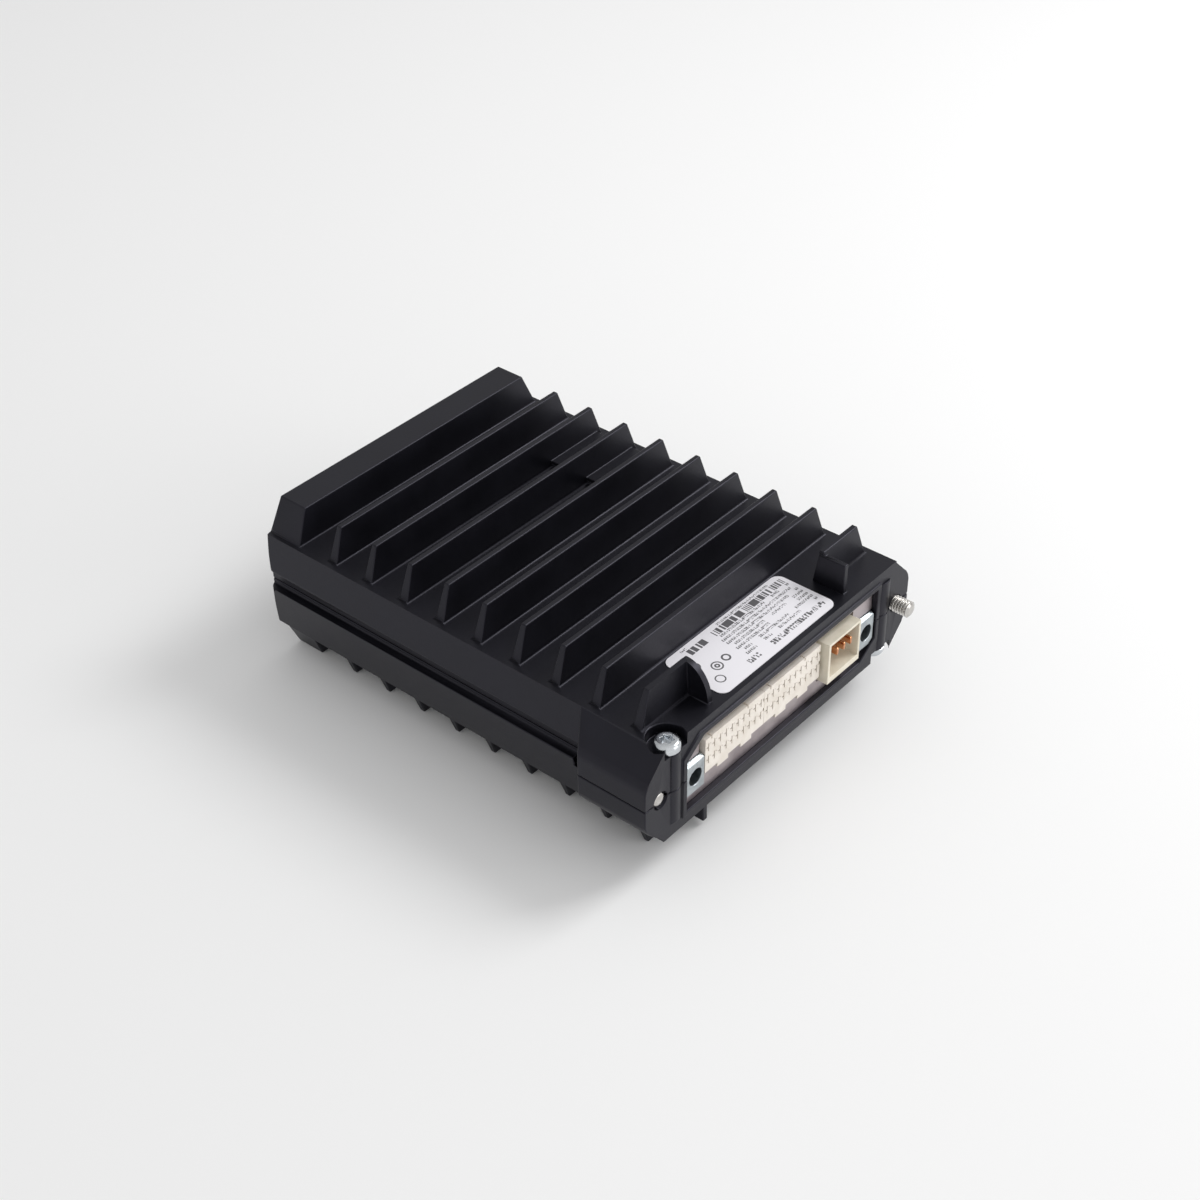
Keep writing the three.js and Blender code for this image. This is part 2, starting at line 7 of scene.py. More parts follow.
# %% Load the fixed frame
import json
import math
import bpy
import bmesh
import numpy as np
from mathutils import Matrix, Vector
from mathutils.bvhtree import BVHTree

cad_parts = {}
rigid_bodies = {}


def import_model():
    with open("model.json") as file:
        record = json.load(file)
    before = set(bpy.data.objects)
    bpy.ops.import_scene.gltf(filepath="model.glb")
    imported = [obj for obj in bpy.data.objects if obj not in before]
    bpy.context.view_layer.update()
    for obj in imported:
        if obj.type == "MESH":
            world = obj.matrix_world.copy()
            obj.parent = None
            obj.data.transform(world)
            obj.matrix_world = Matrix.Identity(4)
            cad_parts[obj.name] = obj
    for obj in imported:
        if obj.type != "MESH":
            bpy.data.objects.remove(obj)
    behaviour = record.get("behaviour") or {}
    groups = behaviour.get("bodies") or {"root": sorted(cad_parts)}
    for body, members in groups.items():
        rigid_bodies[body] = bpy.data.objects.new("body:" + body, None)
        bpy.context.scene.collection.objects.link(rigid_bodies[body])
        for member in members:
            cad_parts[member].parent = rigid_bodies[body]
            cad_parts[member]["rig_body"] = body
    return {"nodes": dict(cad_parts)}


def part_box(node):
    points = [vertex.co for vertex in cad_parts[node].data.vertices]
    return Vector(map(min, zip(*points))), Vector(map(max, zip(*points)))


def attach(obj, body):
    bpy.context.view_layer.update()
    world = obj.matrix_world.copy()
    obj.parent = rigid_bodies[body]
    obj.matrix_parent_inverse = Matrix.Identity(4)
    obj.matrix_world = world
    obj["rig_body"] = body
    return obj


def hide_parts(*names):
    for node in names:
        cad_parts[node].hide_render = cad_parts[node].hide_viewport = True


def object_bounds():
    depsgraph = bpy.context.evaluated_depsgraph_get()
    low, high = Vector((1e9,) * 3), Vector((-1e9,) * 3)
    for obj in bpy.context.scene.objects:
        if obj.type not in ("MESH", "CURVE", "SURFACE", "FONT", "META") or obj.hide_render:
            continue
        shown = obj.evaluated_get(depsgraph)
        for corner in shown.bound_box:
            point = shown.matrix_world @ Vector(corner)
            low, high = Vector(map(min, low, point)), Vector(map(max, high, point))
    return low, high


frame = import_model()
cad_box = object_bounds()
nodes = frame["nodes"]
MM = 0.001
print("CAD box in metres:", [list(corner) for corner in cad_box])

# %% [markdown]
# ## Where things are
# Every position comes from the frame. The boxes of a few nodes give the connector face, the parting
# plane and the centre line, and everything else is measured from those.

# %% Landmarks measured on the frame
upper_low, upper_high = (np.array(corner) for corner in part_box("upper_housing"))
label_low, label_high = (np.array(corner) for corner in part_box("rating_label"))
cad_high = np.array(cad_box[1])
PARTING_Z = cad_high[2] / 2
RIM_HEIGHT = 0.4 * MM
RIM_Y = upper_low[1]
FACE_Y = RIM_Y + RIM_HEIGHT
LENGTH = upper_high[1] - RIM_Y
print("parting plane", PARTING_Z, "connector face", FACE_Y, "length", LENGTH)

# %% [markdown]
# ## Camera, floor and light
# The camera stands to the left of the connector end and looks down on it. A pale floor, a white
# surround and two large soft panels are enough: a satin black coating is seen mostly by what it
# mirrors, so the white floor is what lights the upright faces and leaves the gaps between fins dark.
# The level faces mirror the sky behind the module, so the surround is dimmer on that side. The panel
# on the right stands where the rounded edges mirror it, and draws a fine bright line along each.

# %% Camera
CAMERA_PLACE = Vector((-0.2776, FACE_Y - 0.1887, PARTING_Z + 0.2842))
CAMERA_TURN = Vector((2.055, -0.958, 0.454))
SENSOR = 36.0
FOCAL = 61.1


def camera_matrix(place, turn):
    """World matrix of a camera at place. turn is the rotation vector that takes the world's axes to
    right, down and forward; Blender's camera wants right, up and back, so two rows change sign."""
    world_to_view = Matrix.Rotation(turn.length, 3, turn)
    right, down, forward = world_to_view[0], world_to_view[1], world_to_view[2]
    return Matrix.Translation(place) @ Matrix((right, -down, -forward)).transposed().to_4x4()


camera_data = bpy.data.cameras.new("camera")
camera_data.lens = FOCAL
camera_data.sensor_width = SENSOR
camera_data.clip_start = 0.01
camera = bpy.data.objects.new("camera", camera_data)
camera.matrix_world = camera_matrix(CAMERA_PLACE, CAMERA_TURN)
bpy.context.scene.collection.objects.link(camera)
bpy.context.scene.camera = camera
print("camera at", tuple(round(v, 3) for v in camera.location))


# %% Colour and node helpers
def linear(hex_colour):
    """An sRGB hex colour as linear RGBA: the low end is a straight line and the rest a 2.4 power."""
    values = [int(hex_colour[i:i + 2], 16) / 255 for i in (1, 3, 5)]
    return tuple(v / 12.92 if v <= 0.04045 else ((v + 0.055) / 1.055) ** 2.4 for v in values) + (1.0,)


def add(tree, kind, settings=None, **links):
    """Adds one node. settings are its properties; links are values or other nodes' outputs by input
    name, with _ for a space and a trailing digit for the second input of the same name."""
    new = tree.nodes.new(kind)
    for name, value in (settings or {}).items():
        setattr(new, name, value)
    for name, value in links.items():
        key = int(name[1:]) if name[0] == "n" and name[1:].isdigit() else name.replace("_", " ")
        if isinstance(value, bpy.types.NodeSocket):
            tree.links.new(value, new.inputs[key])
        else:
            new.inputs[key].default_value = value
    return new


def material(name):
    """A new node material; returns it with its tree and its Principled shader."""
    made = bpy.data.materials.new(name)
    made.use_nodes = True
    return made, made.node_tree, made.node_tree.nodes["Principled BSDF"]


# %% Floor, surround and soft panels
GLOW_IN_FRONT = 0.9
GLOW_BEHIND = 0.5
world = bpy.data.worlds.new("studio")
bpy.context.scene.world = world
world.use_nodes = True
background = world.node_tree.nodes["Background"]
background.inputs["Color"].default_value = (1.0, 1.0, 1.0, 1.0)
direction = add(world.node_tree, "ShaderNodeTexCoord")
sides = add(world.node_tree, "ShaderNodeSeparateXYZ", Vector=direction.outputs["Generated"])
glow = add(world.node_tree, "ShaderNodeMapRange", Value=sides.outputs["Y"],
           From_Min=-1.0, To_Min=GLOW_IN_FRONT, To_Max=GLOW_BEHIND)
world.node_tree.links.new(glow.outputs["Result"], background.inputs["Strength"])
bpy.context.scene.view_settings.view_transform = "Standard"

floor_mesh = bpy.data.meshes.new("floor")
FLOOR_HALF = 3.0
floor_mesh.from_pydata(
    [(x, y, -0.0002) for x, y in ((-1, -1), (1, -1), (1, 1), (-1, 1))], [], [(0, 1, 2, 3)])
floor_mesh.transform(Matrix.Diagonal((FLOOR_HALF, FLOOR_HALF, 1, 1)))
floor = bpy.data.objects.new("floor", floor_mesh)
bpy.context.scene.collection.objects.link(floor)
floor_material, _, floor_shader = material("floor_painted_card")
floor_shader.inputs["Base Color"].default_value = linear("#f4f4f4")
floor_shader.inputs["Roughness"].default_value = 0.9
floor_mesh.materials.append(floor_material)


def soft_panel(name, place, size, power):
    """A square area light at place, aimed at the middle of the module."""
    data = bpy.data.lights.new(name, "AREA")
    data.size = size
    data.energy = power
    panel = bpy.data.objects.new(name, data)
    aim = Vector((0, 0, PARTING_Z)) - Vector(place)
    panel.rotation_euler = aim.to_track_quat("-Z", "Y").to_euler()
    panel.location = place
    bpy.context.scene.collection.objects.link(panel)


soft_panel("panel_right", (0.57, -0.32, 0.63), 0.34, 3.4)
soft_panel("panel_connector_side", (0.3, -0.8, 0.25), 0.5, 1.0)

# %% [markdown]
# ## Finishes
# Each material starts from what the real surface is and how it was made. Patterns read Object
# coordinates, which are metres here, so a pattern of size s millimetres has a scale of 1000 / s.


# %% Casting finish
def per_mm(size):
    """Texture scale, in cells per metre, of a pattern whose cells are size millimetres across."""
    return 1000.0 / size


def bumpy(tree, shader, height, distance, strength):
    """Feeds a height into the shader's normal; distance is the relief in millimetres."""
    bump = add(tree, "ShaderNodeBump", Height=height, Distance=distance * MM, Strength=strength)
    tree.links.new(bump.outputs["Normal"], shader.inputs["Normal"])


def noise(tree, size, detail=3.0, stretch=(1, 1, 1)):
    """Noise on Object coordinates with cells of size millimetres, stretched along the axes."""
    where = add(tree, "ShaderNodeTexCoord")
    mapping = add(tree, "ShaderNodeMapping", Vector=where.outputs["Object"], Scale=stretch)
    where = mapping.outputs["Vector"]
    return add(tree, "ShaderNodeTexNoise", Vector=where, Scale=per_mm(size), Detail=detail)


def blend_colours(tree, factor, low, high, start=0.35, stop=0.65):
    """A ramp from one hex colour to another as factor goes from start to stop."""
    ramp = add(tree, "ShaderNodeValToRGB", Fac=factor)
    ramp.color_ramp.elements[0].position = start
    ramp.color_ramp.elements[0].color = linear(low)
    ramp.color_ramp.elements[1].position = stop
    ramp.color_ramp.elements[1].color = linear(high)
    return ramp.outputs["Color"]


# Aluminium die casting under a black e-coat: satin and faintly pebbled, with a cool violet sheen.
cast_coat, tree, shader = material("aluminium_die_casting_black_ecoat")
cloud = noise(tree, 9.0, 4.0)
tree.links.new(blend_colours(tree, cloud.outputs["Fac"], "#0a0a0e", "#101015"), shader.inputs["Base Color"])
shader.inputs["IOR"].default_value = 1.42
shader.inputs["Specular Tint"].default_value = linear("#eceaff")
rough = add(tree, "ShaderNodeMapRange", Value=cloud.outputs["Fac"], To_Min=0.34, To_Max=0.46)
tree.links.new(rough.outputs["Result"], shader.inputs["Roughness"])
pebble = noise(tree, 0.55, 2.0)
bumpy(tree, shader, pebble.outputs["Fac"], 0.03, 0.5)
print("material", cast_coat.name)


# %% Metal finishes
def metal(name, low, high, roughness, grain, stretch=(1, 1, 1), relief=0.01):
    """A metal whose colour drifts between two tones, with a fine grain in its relief."""
    made, tree, shader = material(name)
    tone = noise(tree, grain * 6, 3.0, stretch)
    tree.links.new(blend_colours(tree, tone.outputs["Fac"], low, high), shader.inputs["Base Color"])
    shader.inputs["Metallic"].default_value = 1.0
    spread = add(tree, "ShaderNodeMapRange", Value=tone.outputs["Fac"],
                 To_Min=roughness - 0.06, To_Max=roughness + 0.06)
    tree.links.new(spread.outputs["Result"], shader.inputs["Roughness"])
    bumpy(tree, shader, noise(tree, grain, 2.0, stretch).outputs["Fac"], relief, 0.4)
    return made


# Cold-headed steel, bright zinc plated: pale, slightly blue, mirrors softly.
zinc_plate = metal("steel_bright_zinc_plated", "#c4c8cc", "#d8dbde", 0.22, 0.5)
# Turned stainless steel: a fine grain round the axis.
turned_steel = metal("stainless_steel_turned", "#b9b6b2", "#d0cdc9", 0.2, 0.3, (1, 6, 1))
# Tin-plated sheet over the boards: dull with a warm grey cast.
tinned_sheet = metal("steel_sheet_tin_plated", "#a59b9d", "#b8afb0", 0.42, 0.8)
# Zinc die casting, nickel plated, for the guide sockets: light and satin.
guide_plate = metal("zinc_die_casting_nickel_plated", "#a4abaf", "#bac1c4", 0.34, 0.5)
# Stamped copper alloy: warm and bright on its sheared edges.
blade_copper = metal("copper_alloy_stamped", "#c5835b", "#dda27c", 0.24, 0.4, (1, 1, 4))


# %% Plastic finishes
def moulded(name, low, high, roughness, grain=0.35, relief=0.012):
    """A moulded plastic: an even colour with a slight cloud, and a spark-eroded texture."""
    made, tree, shader = material(name)
    cloud = noise(tree, 3.0, 3.0)
    tree.links.new(blend_colours(tree, cloud.outputs["Fac"], low, high), shader.inputs["Base Color"])
    shader.inputs["Roughness"].default_value = roughness
    shader.inputs["IOR"].default_value = 1.53
    bumpy(tree, shader, noise(tree, grain, 2.0).outputs["Fac"], relief, 0.4)
    return made


# Liquid-crystal polymer, natural: warm ivory with a slight flow cloud.
ivory_lcp = moulded("lcp_natural_moulded", "#ddd5ca", "#e8e1d8", 0.5)
# Glass-filled polyamide, cream: a little yellower and duller.
cream_nylon = moulded("polyamide_cream_moulded", "#d8d0bd", "#e2dbca", 0.52)
# Moulded epoxy for packages: dark grey and matt.
package_epoxy = moulded("epoxy_moulding_black", "#1a1a1c", "#232326", 0.55)
# Glass laminate under green solder mask: glossy, with the weave just showing.
solder_mask = moulded("glass_laminate_green_mask", "#174a31", "#1f5a3c", 0.3, 0.9, 0.03)
# Sintered ferrite core: dark, grainy and dull.
ferrite_core = moulded("ferrite_sintered", "#2d2c2e", "#3b3a3c", 0.7, 0.25, 0.04)
# PVC sleeve shrunk on a capacitor can: glossy blue.
shrink_sleeve = moulded("pvc_sleeve_blue", "#1d2a5c", "#27346b", 0.25)
# Soft silicone gap pad: light grey, matt.
silicone_pad = moulded("silicone_gap_pad", "#8f999e", "#9faaae", 0.85, 0.6, 0.05)
print("plastics:", ivory_lcp.name, cream_nylon.name, package_epoxy.name)

# %% [markdown]
# ## The printed label
# The label is a white film with dark print. Its print could be drawn as curves, but at this size only
# the rhythm of marks and gaps is seen, so it is made from rules: a mark is there when a random number
# drawn for its cell is high enough. Nothing on it is a letter.


# %% Label print
def maths(tree, operation, first, second=0.0, third=0.0):
    """One Math node; each argument is a number or another node's output."""
    return add(tree, "ShaderNodeMath", {"operation": operation}, n0=first, n1=second, n2=third).outputs[0]


def between(tree, value, low, high):
    """1 where value lies between low and high, and 0 elsewhere."""
    half = (high - low) / 2
    return maths(tree, "COMPARE", value, low + half, half)


def random_cells(tree, along, size, across=0.0):
    """A random number from 0 to 1 for each cell: along is cut every size millimetres, and across
    names the row."""
    cell = maths(tree, "FLOOR", maths(tree, "DIVIDE", along, size))
    both = add(tree, "ShaderNodeCombineXYZ", X=cell, Y=across)
    drawn = add(tree, "ShaderNodeTexWhiteNoise", {"noise_dimensions": "2D"}, Vector=both.outputs[0])
    return drawn.outputs["Value"]


def either(tree, inks):
    """The darkest of several inks."""
    total = inks[0]
    for ink in inks[1:]:
        total = maths(tree, "MAXIMUM", total, ink)
    return total


def print_line(tree, u, v, span, rows, pitch, duty, gaps, levels=3):
    """A line of small marks over span along u and rows along v. Each pitch holds one mark over its
    first duty. Its finest detail is half a mark wide and one level of the line high, inked where a random
    number is over 0.34, and whole words of five marks are left out as often as gaps says."""
    height = maths(tree, "SUBTRACT", v, rows[0])
    level = maths(tree, "FLOOR", maths(tree, "DIVIDE", height, (rows[1] - rows[0]) / levels))
    detail = maths(tree, "GREATER_THAN", random_cells(tree, u, pitch * duty / 2, level), 0.34)
    share = maths(tree, "FRACT", maths(tree, "DIVIDE", u, pitch))
    word = maths(tree, "GREATER_THAN", random_cells(tree, u, 5 * pitch, 7 * rows[0]), gaps)
    ink = maths(tree, "MULTIPLY", detail, maths(tree, "LESS_THAN", share, duty))
    field = maths(tree, "MULTIPLY", between(tree, u, *span), between(tree, v, *rows))
    return maths(tree, "MULTIPLY", maths(tree, "MULTIPLY", ink, word), field)


def ring(tree, u, v, place, radius, width):
    """A circle drawn with a pen of the given width, all in millimetres."""
    du, dv = (maths(tree, "SUBTRACT", axis, centre) for axis, centre in zip((u, v), place))
    squares = [maths(tree, "POWER", side, 2.0) for side in (du, dv)]
    reach = maths(tree, "SQRT", maths(tree, "ADD", *squares))
    return between(tree, reach, radius - width / 2, radius + width / 2)


# White polyester film with a satin face: u runs along the label from its middle, v from its near edge.
label_film, tree, shader = material("polyester_film_printed")
where = add(tree, "ShaderNodeTexCoord")
axes = add(tree, "ShaderNodeSeparateXYZ", Vector=where.outputs["Object"])
LABEL_MIDDLE = (label_low[0] + label_high[0]) / 2
u = maths(tree, "MULTIPLY", maths(tree, "SUBTRACT", axes.outputs["X"], LABEL_MIDDLE), 1 / MM)
v = maths(tree, "MULTIPLY", maths(tree, "SUBTRACT", axes.outputs["Y"], label_low[1]), 1 / MM)
bars = print_line(tree, u, v, (-14.0, 19.0), (13.1, 15.0), 0.56, 1.0, 0.05, levels=1)
bold = print_line(tree, u, v, (-8.2, 18.6), (1.9, 3.3), 0.86, 0.78, 0.1)
over = print_line(tree, u, v, (-15.0, 17.0), (15.3, 15.9), 0.52, 0.7, 0.5)
small = [print_line(tree, u, v, (-6.4, 19.2), (v0, v0 + 0.78), 0.52, 0.7, 0.2)
         for v0 in np.arange(4.3, 12.2, 1.3)]
rings = [ring(tree, u, v, (-13.4, 7.0), 1.25, 0.35), ring(tree, u, v, (-16.8, 10.4), 1.2, 0.4),
         ring(tree, u, v, (-10.0, 7.3), 0.9, 0.45), ring(tree, u, v, (-13.4, 7.0), 0.45, 0.4),
         ring(tree, u, v, (-16.3, 3.9), 1.1, 0.3)]
ink = maths(tree, "MULTIPLY", either(tree, [bars, bold, over] + small + rings), 0.9)
paint = add(tree, "ShaderNodeMix", {"data_type": "RGBA"}, Factor=ink)
paint.inputs[6].default_value = linear("#efedf2")
paint.inputs[7].default_value = linear("#2c2b2e")
tree.links.new(paint.outputs[2], shader.inputs["Base Color"])
shader.inputs["Roughness"].default_value = 0.42
print("material", label_film.name, "nodes:", len(tree.nodes))

# %% [markdown]
# ## Rounding the edges of a CAD piece
# A die casting has no sharp edge: every corner is rounded by the tool. The CAD solid has its fillets
# but its outer edges are sharp. One way is to model each fin again; a shorter one, used here, is to
# copy the CAD mesh, weld its loose triangles, melt the flat ones together and let the Bevel modifier
# round every long edge that turns by more than a set angle. Weighted normals then keep the big flat
# faces flat and leave all the turning of the light to the small round ones.


# %% Copy, weld, melt and round
def welded_copy(node, name):
    """A new mesh with the node's shape: doubles merged, and coplanar triangles melted into faces."""
    work = bmesh.new()
    work.from_mesh(nodes[node].data)
    bmesh.ops.remove_doubles(work, verts=work.verts, dist=1e-6)
    bmesh.ops.dissolve_limit(work, angle_limit=math.radians(1.0), verts=work.verts, edges=work.edges)
    mesh = bpy.data.meshes.new(name)
    work.to_mesh(mesh)
    work.free()
    return mesh


def place_piece(name, mesh, node, finish):
    """Links a finished mesh as a piece that stands for a CAD node and rides on that node's body."""
    mesh.materials.clear()
    mesh.materials.append(finish)
    made = bpy.data.objects.new(name, mesh)
    bpy.context.scene.collection.objects.link(made)
    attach(made, nodes[node]["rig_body"])
    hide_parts(node)
    return made


def weigh_edges(mesh, turn, width):
    """Gives a bevel weight to each edge that turns by more than turn degrees, is over three widths long
    and meets no edge shorter than a width, so that the rounding never overshoots a short neighbour. The
    weight is 1, or less beside a strip so narrow that two full roundings would meet on it: area over
    perimeter is half the width of a strip."""
    work = bmesh.new()
    work.from_mesh(mesh)
    weight = work.edges.layers.float.new("bevel_weight_edge")
    crowded = {v for e in work.edges if e.calc_length() < width for v in e.verts}
    count = 0
    for edge in work.edges:
        sharp = len(edge.link_faces) == 2 and edge.calc_face_angle() > math.radians(turn)
        if sharp and edge.calc_length() > 3 * width and not crowded & set(edge.verts):
            half_strip = min(face.calc_area() / face.calc_perimeter() for face in edge.link_faces)
            edge[weight] = min(1.0, half_strip / (1.2 * width))
            count += 1
    work.to_mesh(mesh)
    work.free()
    return count


def calm_edges(made, mesh, width):
    """Takes the rounding off the edges round any place where the rounded surface strays more than half
    a width from the plain one. Returns how many such places there were."""
    plain = BVHTree.FromPolygons([v.co for v in mesh.vertices], [list(p.vertices) for p in mesh.polygons])
    rounded = made.evaluated_get(bpy.context.evaluated_depsgraph_get()).to_mesh()
    strays = [v.co for v in rounded.vertices if plain.find_nearest(v.co)[3] > width / 2]
    weights = mesh.attributes["bevel_weight_edge"].data
    for edge in mesh.edges:
        ends = [mesh.vertices[i].co for i in edge.vertices]
        if any((end - stray).length < 6 * width for end in ends for stray in strays):
            weights[edge.index].value = 0.0
    return len(strays)


def rounded_piece(node, finish, width, segments=2, turn=35.0):
    """A CAD node with its long edges that turn by more than turn degrees rounded to width millimetres."""
    mesh = welded_copy(node, node + "_rounded")
    mesh.shade_smooth()
    mesh.set_sharp_from_angle(angle=math.radians(turn))
    count = weigh_edges(mesh, turn, width * MM)
    made = place_piece(node + "_rounded", mesh, node, finish)
    bevel = made.modifiers.new("edges", "BEVEL")
    bevel.width = width * MM
    bevel.segments = segments
    bevel.limit_method = "WEIGHT"
    bevel.use_clamp_overlap = False
    strays = calm_edges(made, mesh, width * MM)
    normals = made.modifiers.new("normals", "WEIGHTED_NORMAL")
    normals.keep_sharp = True
    print(made.name, "faces:", len(mesh.polygons), "edges rounded:", count, "strays calmed:", strays)
    return made


# %% The two castings
for half in ("upper_housing", "lower_housing"):
    rounded_piece(half, cast_coat, 0.26, 3)

# %% Power header and guide sockets
rounded_piece("power_header", cream_nylon, 0.14, 3)
for side in ("left", "right"):
    rounded_piece("guide_socket_" + side, guide_plate, 0.15, 2)

# %% [markdown]
# ## Signal receptacles
# Each receptacle is an ivory block with ten contact columns. In each column two tall slits each take one
# blade of the mating plug, with a short tick beside them for its foot. Boolean cuts would do it, but the
# whole block is made of right angles, so it is simpler to fill the cells of a grid of planes and draw
# a face wherever a full cell meets an empty one.


# %% Block with straight cuts
def filled_cells(planes, boxes):
    """Which cells of a grid lie in any of the boxes. planes holds the sorted plane positions along
    x, y and z; a cell is tested at its middle against each box, given as (x0, x1, y0, y1, z0, z1)."""
    middles = np.meshgrid(*[(p[1:] + p[:-1]) / 2 for p in planes], indexing="ij")
    inside = np.zeros(middles[0].shape, bool)
    for box in boxes:
        hit = np.ones(inside.shape, bool)
        for axis, middle in enumerate(middles):
            hit &= (middle > box[2 * axis]) & (middle < box[2 * axis + 1])
        inside |= hit
    return inside


def cell_mesh(name, planes, full):
    """A closed mesh round the full cells: along each axis, a face stands on every plane where full
    changes, and its corners run so that it faces the empty side."""
    sizes = np.array([len(p) for p in planes])
    corners = np.stack(np.meshgrid(*planes, indexing="ij"), -1).reshape(-1, 3)
    faces = []
    for axis in range(3):
        step = np.diff(np.pad(full.astype(int), 1), axis=axis)
        keep = tuple(slice(None) if a == axis else slice(1, -1) for a in range(3))
        step = step[keep]
        first, second = [a for a in range(3) if a != axis]
        for sign in (1, -1):
            low = np.argwhere(step == sign)
            quad = [low.copy() for corner in range(4)]
            quad[1][:, first] += 1
            quad[2][:, first] += 1
            quad[2][:, second] += 1
            quad[3][:, second] += 1
            ids = np.stack([np.ravel_multi_index(q.T, sizes) for q in quad], 1)
            outward = (sign == -1) == (axis != 1)
            faces.append(ids if outward else ids[:, ::-1])
    mesh = bpy.data.meshes.new(name)
    mesh.from_pydata(corners.tolist(), [], np.concatenate(faces).tolist())
    work = bmesh.new()
    work.from_mesh(mesh)
    bmesh.ops.delete(work, geom=[v for v in work.verts if not v.link_faces], context="VERTS")
    bmesh.ops.dissolve_limit(work, angle_limit=math.radians(1.0), verts=work.verts, edges=work.edges)
    work.to_mesh(mesh)
    work.free()
    return mesh


PITCH = 2.0
LEVELS = (3.7, 0.3)


def receptacle_cells(node):
    """Planes and full cells of one receptacle, in metres, from the node's box."""
    low, high = (np.array(corner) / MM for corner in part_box(node))
    middle = (low[0] + high[0]) / 2
    front, back, foot, top = low[1], high[1], low[2], high[2]
    skirt = foot + 1.1
    solid = [(low[0], high[0], front, back, skirt, top)]
    solid += [(middle + s * 4 - 1.85, middle + s * 4 + 1.85, front, back, foot, skirt) for s in (-1, 1)]
    cuts = []
    for column in np.arange(10) - 4.5:
        x = middle + PITCH * column
        for level in LEVELS:
            z = PARTING_Z / MM + level
            cuts.append((x - 0.16, x + 0.16, front, front + 4, z - 1.1, z + 1.1))
            cuts.append((x - 0.74, x - 0.16, front, front + 1.2, z - 0.2, z + 0.2))
            cuts.append((x + 0.5, x + 0.76, front, front + 1.2, z + 0.6, z + 0.86))
    cuts += [(x - 0.2, x + 0.2, front, front + 1.4, top - 0.8, top) for x in (low[0] + 2.1, low[0] + 14.4)]
    cuts += [(high[0] - 0.4, high[0], front, front + 2, PARTING_Z / MM + z, PARTING_Z / MM + z + 0.9)
             for z in (0.9, 3.5)]
    edges = np.array(solid + cuts)
    planes = [np.unique(np.round(edges[:, 2 * a:2 * a + 2], 4)) for a in range(3)]
    full = filled_cells(planes, solid) & ~filled_cells(planes, cuts)
    return [p * MM for p in planes], full


for number in (1, 2):
    node = "signal_receptacle_%d" % number
    planes, full = receptacle_cells(node)
    mesh = cell_mesh(node + "_cut", planes, full)
    place_piece(node + "_cut", mesh, node, ivory_lcp)
    print(node, "faces:", len(mesh.polygons))

# %% [markdown]
# ## Turned pieces
# A bolt and a screw are turned profiles with two exceptions: the thread, whose radius also depends on
# the angle, and the recess, which is not round. Both fit one grid of rows and angles, in which each
# row says how its radius changes with the angle.


# %% Bolts and screws by formula
TURNS = 72
ANGLES = np.arange(TURNS) * 2 * np.pi / TURNS


def round_row(radius, along):
    """A plain circle."""
    return np.full(TURNS, radius), np.full(TURNS, along)


def hex_row(half_flat, along):
    """A hexagon: the radius is the half width over flats divided by the cosine of the angle measured
    from the middle of the nearest flat."""
    return half_flat / np.cos((ANGLES % (np.pi / 3)) - np.pi / 6), np.full(TURNS, along)


def lobed_row(radius, along):
    """A six-lobe recess: the radius swings once per lobe by a seventh of its mean."""
    return radius * (1 + 0.14 * np.cos(6 * ANGLES)), np.full(TURNS, along)


def thread_rows(start, stop, radius, pitch, depth, steps=14):
    """Rows of a helical thread from start to stop along the axis: the radius falls from the crest by a
    triangle wave of the turns travelled minus the angle, and the wave fades in over the first pitch."""
    along = np.linspace(start, stop, int(steps * abs(stop - start) / pitch) + 1)
    turn = (along - start)[:, None] / pitch - ANGLES[None, :] / (2 * np.pi)
    wave = np.abs(2 * (turn % 1.0) - 1)
    flat = np.clip((wave - 0.12) / 0.76, 0, 1)
    fade_in, fade_out = (np.clip(np.abs(along - end) / (0.6 * pitch), 0, 1) for end in (start, stop))
    fade = fade_in * fade_out
    return [(radius - depth * f * row, np.full(TURNS, a)) for a, f, row in zip(along, fade, flat)]


def turned_mesh(name, rows, centre, axis):
    """A closed surface through the rows, in millimetres along the axis ("y" or "z") through centre. Its
    ends close on a pole at the first and the last row's place on the axis."""
    radius = np.array([r for r, along in rows])
    along = np.array([a for r, a in rows])
    side, up = radius * np.cos(ANGLES), radius * np.sin(ANGLES)
    if axis == "y":
        points = np.stack([centre[0] + side, along, centre[2] + up], -1)
        poles = [(centre[0], along[k, 0], centre[2]) for k in (0, -1)]
    else:
        points = np.stack([centre[0] + side, centre[1] + up, along], -1)
        poles = [(centre[0], centre[1], along[k, 0]) for k in (0, -1)]
    count = len(rows)
    ids = np.arange(count * TURNS).reshape(count, TURNS)
    ring_next = np.roll(ids, -1, axis=1)
    quads = np.stack([ids[:-1], ring_next[:-1], ring_next[1:], ids[1:]], -1).reshape(-1, 4)
    first, last = count * TURNS, count * TURNS + 1
    caps = [(first, b, a) for a, b in zip(ids[0], ring_next[0])]
    caps += [(last, a, b) for a, b in zip(ids[-1], ring_next[-1])]
    mesh = bpy.data.meshes.new(name)
    mesh.from_pydata((np.concatenate([points.reshape(-1, 3), poles]) * MM).tolist(), [],
                     quads.tolist() + [tuple(int(k) for k in c) for c in caps])
    work = bmesh.new()
    work.from_mesh(mesh)
    bmesh.ops.remove_doubles(work, verts=work.verts, dist=1e-7)
    bmesh.ops.recalc_face_normals(work, faces=work.faces)
    work.to_mesh(mesh)
    work.free()
    mesh.shade_smooth()
    mesh.set_sharp_from_angle(angle=math.radians(40))
    return mesh


